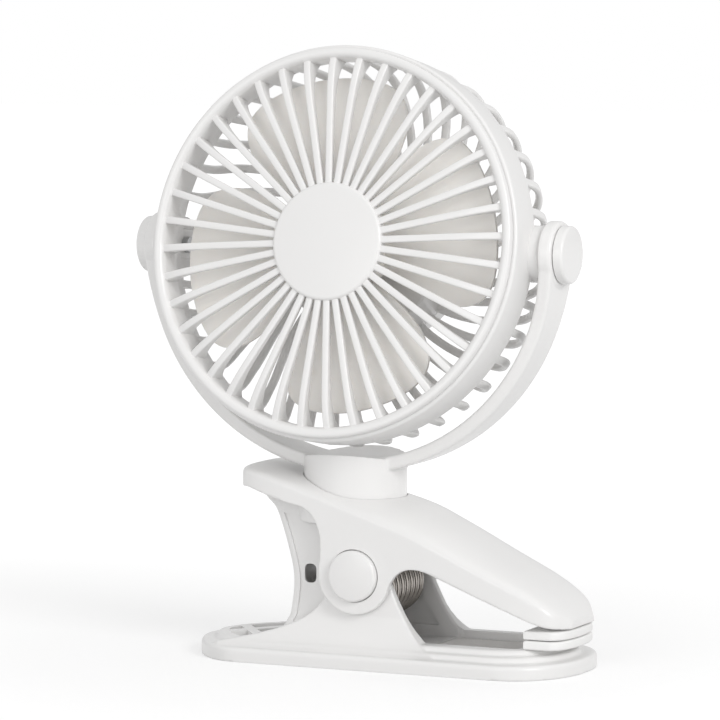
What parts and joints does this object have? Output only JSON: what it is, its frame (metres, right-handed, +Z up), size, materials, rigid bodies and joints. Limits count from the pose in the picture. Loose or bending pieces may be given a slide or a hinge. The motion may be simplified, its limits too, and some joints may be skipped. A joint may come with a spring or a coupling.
{
  "type": "clip fan",
  "caption": "Small rechargeable fan whose caged head tilts in a yoke and swivels on a broad spring clip that also stands on a table.",
  "frame": {"origin": "where the neck's swivel axis meets the flat underside of the lower arm", "axes": "+Z up along the neck, +X along the clip towards its jaw tip; the fan faces -Y"},
  "size_m": [0.1535, 0.0653, 0.1944],
  "materials": {
    "body_white": "satin to gloss moulded white plastic",
    "pad_white": "matt white soft pad",
    "mat_grey": "fine textured pale grey grip mat",
    "milky_white": "milky moulded plastic",
    "bright_steel": "bright drawn wire and ground rod",
    "zinc": "zinc plated",
    "black_plastic": "black moulded plastic",
    "cell_film": "heat-shrink film",
    "board_green": "solder resist",
    "lens": "clear lens over a lamp"
  },
  "bodies": {
    "base": {"lower_arm": "body_white", "lower_pad": "pad_white", "grip_mat": "mat_grey", "hinge_pin": "bright_steel", "pin_cap_front": "body_white", "pin_cap_rear": "body_white", "torsion_spring": "bright_steel"},
    "arm": {"upper_arm": "body_white", "upper_pad": "pad_white"},
    "yoke": {"yoke": "body_white", "pivot_cap_left": "body_white", "pivot_cap_right": "body_white", "swivel_washer": "zinc", "swivel_screw": "zinc"},
    "head": {"front_grille": "body_white", "rear_cage": "body_white", "rear_cover": "body_white", "motor_can": "zinc", "motor_end_cap": "black_plastic", "motor_screw_1": "zinc", "motor_screw_2": "zinc", "cover_screw_1": "zinc", "cover_screw_2": "zinc", "battery_cell": "cell_film", "control_board": "board_green", "tact_switch": "black_plastic", "usb_socket": "zinc", "charge_light": "lens", "pivot_screw_left": "zinc", "pivot_screw_right": "zinc"},
    "rotor": {"impeller": "milky_white", "motor_shaft": "bright_steel"},
    "button": {"power_button": "body_white"}
  },
  "joints": [
    {"name": "clip_open", "type": "hinge", "parent": "base", "child": "arm", "pos_m": [0.0084, 0, 0.0286], "axis": [0, -1, 0], "range_deg": [0, 15], "stiffness_Nm_per_rad": 0.5, "springref_deg": -40.11, "deforming": ["torsion_spring"]},
    {"name": "neck_swivel", "type": "hinge", "parent": "arm", "child": "yoke", "pos_m": [0, 0, 0.055], "axis": [0, 0, 1], "continuous": true},
    {"name": "head_tilt", "type": "hinge", "parent": "yoke", "child": "head", "pos_m": [0, 0, 0.1299], "axis": [1, 0, 0], "continuous": true},
    {"name": "fan_spin", "type": "hinge", "parent": "head", "child": "rotor", "pos_m": [0, 0, 0.1299], "axis": [0, 0.986, -0.1668], "continuous": true},
    {"name": "button_press", "type": "slide", "parent": "head", "child": "button", "axis": [0, -0.986, 0.1668], "range_m": [0, 0.0006], "stiffness_N_per_m": 2500, "springref_m": -0.0006}
  ]
}
